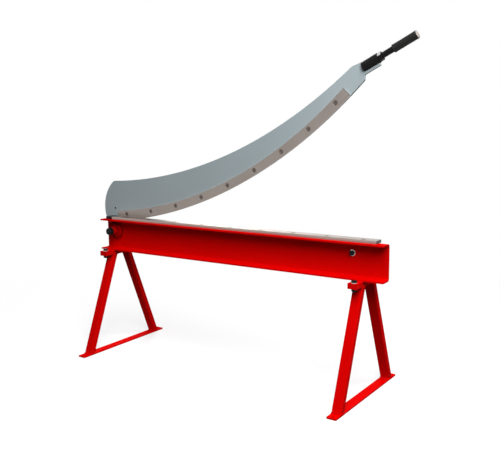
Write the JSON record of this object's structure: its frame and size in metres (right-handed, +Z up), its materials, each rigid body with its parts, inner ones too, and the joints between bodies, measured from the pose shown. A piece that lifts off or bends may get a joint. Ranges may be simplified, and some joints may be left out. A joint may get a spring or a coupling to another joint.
{
  "type": "guillotine shear",
  "caption": "Hand-lever plate shear: a long curved arm with an upper knife pivots behind a channel beam with a lower knife, on a floor stand of two leg frames.",
  "frame": {"origin": "on the floor, under the middle of the whole shear's bounding box", "axes": "+X along the beam from the pivot end to the handle end, +Y from the operator's side to the back, +Z up"},
  "size_m": [1.5402, 0.532, 1.347],
  "materials": {
    "red_paint": "gloss",
    "grey_paint": "satin",
    "ground_steel": "ground",
    "black_steel": "black oxide",
    "screw_steel": "self-colour",
    "zinc_steel": "zinc plated",
    "bronze": "plain",
    "black_rubber": "matte",
    "grey_plastic": "matte"
  },
  "bodies": {
    "stand": {"beam_channel": "red_paint", "lower_knife": "ground_steel", "lower_knife_screws": "screw_steel", "lower_knife_nuts": "red_paint", "end_block": "black_steel", "end_block_screw": "screw_steel", "end_block_nut": "red_paint", "pivot_boss": "red_paint", "pivot_hub": "red_paint", "pivot_bush": "bronze", "stop_bolt": "black_steel", "stop_washer": "zinc_steel", "stop_sleeve": "black_steel", "stop_ring": "black_rubber", "stop_nut": "black_steel", "lug_left": "red_paint", "crosspiece_left": "red_paint", "crosspiece_caps_left": "red_paint", "front_leg_left": "red_paint", "rear_leg_left": "red_paint", "foot_bar_left": "red_paint", "frame_bolts_left": "black_steel", "frame_washers_left": "zinc_steel", "frame_nuts_left": "black_steel", "lug_right": "red_paint", "crosspiece_right": "red_paint", "crosspiece_caps_right": "red_paint", "front_leg_right": "red_paint", "rear_leg_right": "red_paint", "foot_bar_right": "red_paint", "frame_bolts_right": "black_steel", "frame_washers_right": "zinc_steel", "frame_nuts_right": "black_steel"},
    "arm": {"arm_plate": "grey_paint", "upper_knife": "ground_steel", "upper_knife_screws": "screw_steel", "upper_knife_washers": "zinc_steel", "upper_knife_nuts": "black_steel", "heel_plate": "black_steel", "heel_screws": "screw_steel", "thrust_collar": "zinc_steel", "pivot_bolt": "black_steel", "pivot_nut": "black_steel", "pivot_washers": "black_steel", "disc_springs": "zinc_steel", "handle_socket": "black_steel", "handle_lock_nut": "black_steel", "handle_rod": "black_steel", "handle_grip": "black_rubber", "grip_cap": "grey_plastic"}
  },
  "joints": [
    {"name": "arm_pivot", "type": "hinge", "parent": "stand", "child": "arm", "pos_m": [-0.67009, -0.0025, 0.5445], "axis": [0, 1, 0], "range_deg": [-8, 23.85]}
  ]
}
